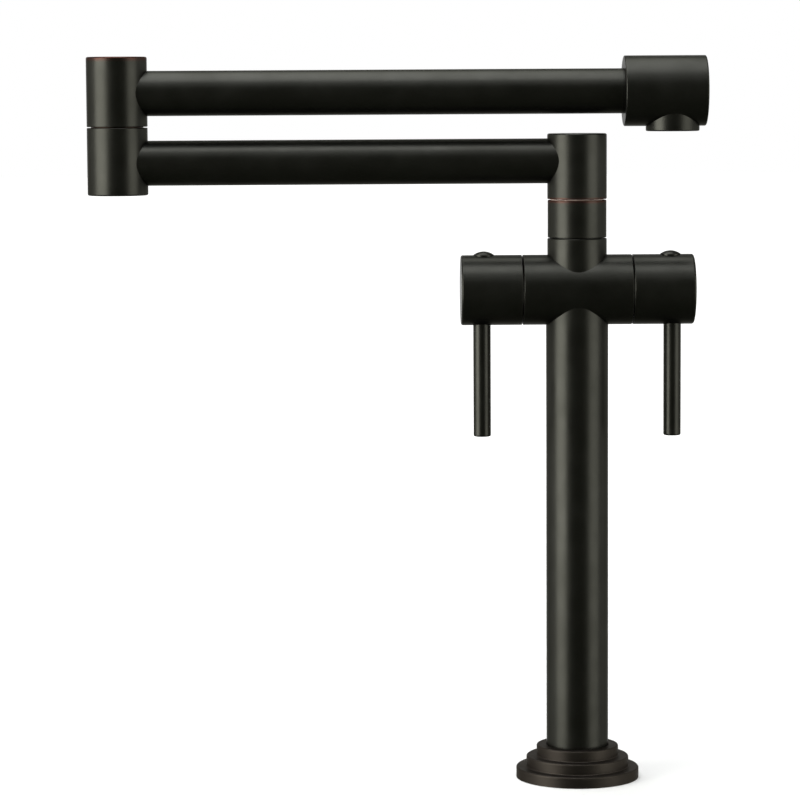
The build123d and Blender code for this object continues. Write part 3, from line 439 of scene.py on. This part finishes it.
def deck_slab():
    """A wide round deck with the tap hole through it."""
    made = bmesh.new()
    section = ((TAP_HOLE_RADIUS, 0.0), (DECK_RADIUS, 0.0), (DECK_RADIUS, -DECK_THICKNESS),
               (TAP_HOLE_RADIUS, -DECK_THICKNESS))
    angles = [2 * math.pi * side / DECK_SIDES for side in range(DECK_SIDES)]
    rings = []
    for radius, height in section:
        rings.append([made.verts.new((radius * math.cos(a), radius * math.sin(a), height)) for a in angles])
    for ring, following in zip(rings, rings[1:] + rings[:1]):
        for side in range(DECK_SIDES):
            after = (side + 1) % DECK_SIDES
            made.faces.new((ring[side], ring[after], following[after], following[side]))
    bmesh.ops.recalc_face_normals(made, faces=made.faces)
    mesh = bpy.data.meshes.new("floor")
    made.to_mesh(mesh)
    made.free()
    return mesh


def pale_board():
    """Painted board: matt and pale, with the white backdrop's brightness in the distance."""
    material, tree, shader, place = blank("pale_board")
    camera_ray = add(tree, "ShaderNodeLightPath").outputs["Is Camera Ray"]
    distance = add(tree, VECTOR_MATH, {0: place}, operation="LENGTH").outputs["Value"]
    far = add(tree, RANGE, {"Value": distance, "From Min": LIT_RADIUS, "From Max": WHITE_RADIUS,
                            "To Min": 0.2, "To Max": 1.0}, interpolation_type="SMOOTHSTEP")
    # A roller leaves a 5 mm orange peel in the paint.
    peel = add(tree, NOISE, {"Vector": place, "Scale": blobs(5), "Detail": 2.0})
    feed(tree, shader, {
        "Base Color": linear("#cfcfcc"),
        "Roughness": 0.9,
        "Specular IOR Level": 0.1,
        "Normal": add(tree, "ShaderNodeBump", {"Height": peel, "Strength": 0.05, "Distance": 0.05 * MM}),
        "Emission Color": linear("#ffffff"),
        "Emission Strength": add(tree, MATH, {0: far, 1: camera_ray}, operation="MULTIPLY"),
    })
    return material


floor = bpy.data.objects.new("floor", deck_slab())
scene.collection.objects.link(floor)
floor.data.materials.append(pale_board())
floor.visible_glossy = False
floor.visible_shadow = False


# Studio

DIM_ROOM = "#4c4f42"


def studio_world():
    """The studio round about: all white to the camera.

    To every other ray a white backdrop stands behind the mixer and runs on down, dimmer
    towards its top edge, and the rest of the room is dim. The metal shows both.
    """
    world = bpy.data.worlds.new("studio")
    world.use_nodes = True
    tree = world.node_tree
    direction = add(tree, "ShaderNodeTexCoord").outputs["Generated"]
    parts = add(tree, "ShaderNodeSeparateXYZ", {0: direction}).outputs
    behind = add(tree, RANGE, {"Value": parts["Y"], "From Min": -0.25, "From Max": 0.25},
                 interpolation_type="SMOOTHSTEP")
    sweep = add(tree, RANGE, {"Value": parts["Z"], "From Min": -0.95, "From Max": -0.6},
                interpolation_type="SMOOTHSTEP")
    top_edge = add(tree, RANGE, {"Value": parts["Z"], "From Min": 0.25, "From Max": 0.7, "To Min": 1.0,
                                 "To Max": 0.4}, interpolation_type="SMOOTHSTEP")
    backdrop = add(tree, MATH, {0: behind, 1: sweep}, operation="MULTIPLY")
    backdrop = add(tree, MATH, {0: backdrop, 1: top_edge}, operation="MULTIPLY")
    camera_ray = add(tree, "ShaderNodeLightPath").outputs["Is Camera Ray"]
    white = add(tree, MATH, {0: backdrop, 1: camera_ray}, operation="MAXIMUM")
    room = add(tree, MIX, {"Factor": white, MIX_A: linear(DIM_ROOM), MIX_B: linear("#ffffff")},
               data_type="RGBA")
    feed(tree, tree.nodes["Background"], {"Color": room.outputs[MIX_COLOR]})
    return world


scene.world = studio_world()


def softbox(name, place, target, size, power, color):
    """A rectangular lamp at a place, turned to its target."""
    light = bpy.data.lights.new(name, "AREA")
    light.shape = "RECTANGLE"
    light.size, light.size_y = size
    light.energy = power
    light.color = color
    lamp = bpy.data.objects.new(name, light)
    scene.collection.objects.link(lamp)
    lamp.location = place
    lamp.rotation_euler = (Vector(target) - Vector(place)).to_track_quat("-Z", "Y").to_euler()


def around(azimuth, distance, height):
    """A place at an angle from the camera's side, positive to the right."""
    angle = math.radians(azimuth)
    return (distance * math.sin(angle), -distance * math.cos(angle), height)


LAMP_DISTANCE = 1.6
LAMP_HEIGHT = 0.49
AIM = (-0.05, 0.0, LAMP_HEIGHT)
COOL = (0.93, 0.945, 1.0)
softbox("left", around(-65, LAMP_DISTANCE, LAMP_HEIGHT), AIM,
        size=(1.2, 1.62), power=38.5, color=(1.0, 0.995, 0.97))
softbox("right", around(60, LAMP_DISTANCE, LAMP_HEIGHT), AIM,
        size=(1.15, 1.95), power=19.5, color=(1.0, 0.995, 0.96))
# The large overhead lamp is a little behind and to the left, and a weak one carries on in front.
softbox("top", (-0.33, 0.185, 1.6), (-0.33, 0.185, 0.0), size=(1.22, 1.73), power=32.6, color=COOL)
softbox("top_front", (-0.1, -0.97, 1.44), (-0.1, 0.0, 0.3), size=(1.3, 0.62), power=2.2, color=COOL)


# Camera

# Fitted to the outlines in the photograph. The focal length is in pixels of an image 800 wide.
FOCAL_PIXELS = 3228.13
IMAGE_WIDTH = 800
SENSOR_WIDTH = 36.0
CAMERA_PLACE = Vector((-114.949, -1655.893, 356.389)) * MM
PITCH, ROLL, YAW = math.radians(5.4421), math.radians(0.3293), math.radians(-0.8162)

right = Vector((math.cos(YAW), math.sin(YAW), 0.0))
forward = Vector((-math.sin(YAW), math.cos(YAW), 0.0))
down = Vector((0.0, 0.0, -1.0))
forward, down = (
    math.cos(PITCH) * forward + math.sin(PITCH) * down,
    -math.sin(PITCH) * forward + math.cos(PITCH) * down,
)
right, down = (
    math.cos(ROLL) * right + math.sin(ROLL) * down,
    -math.sin(ROLL) * right + math.cos(ROLL) * down,
)
camera = bpy.data.objects.new("camera", bpy.data.cameras.new("camera"))
scene.collection.objects.link(camera)
turned = Matrix((right, -down, -forward)).transposed().to_4x4()
camera.matrix_world = Matrix.Translation(CAMERA_PLACE) @ turned
camera.data.sensor_fit = "HORIZONTAL"
camera.data.sensor_width = SENSOR_WIDTH
camera.data.lens = FOCAL_PIXELS / IMAGE_WIDTH * SENSOR_WIDTH
camera.data.clip_start = 0.05
camera.data.clip_end = 100.0
scene.camera = camera
scene.view_settings.view_transform = "Standard"
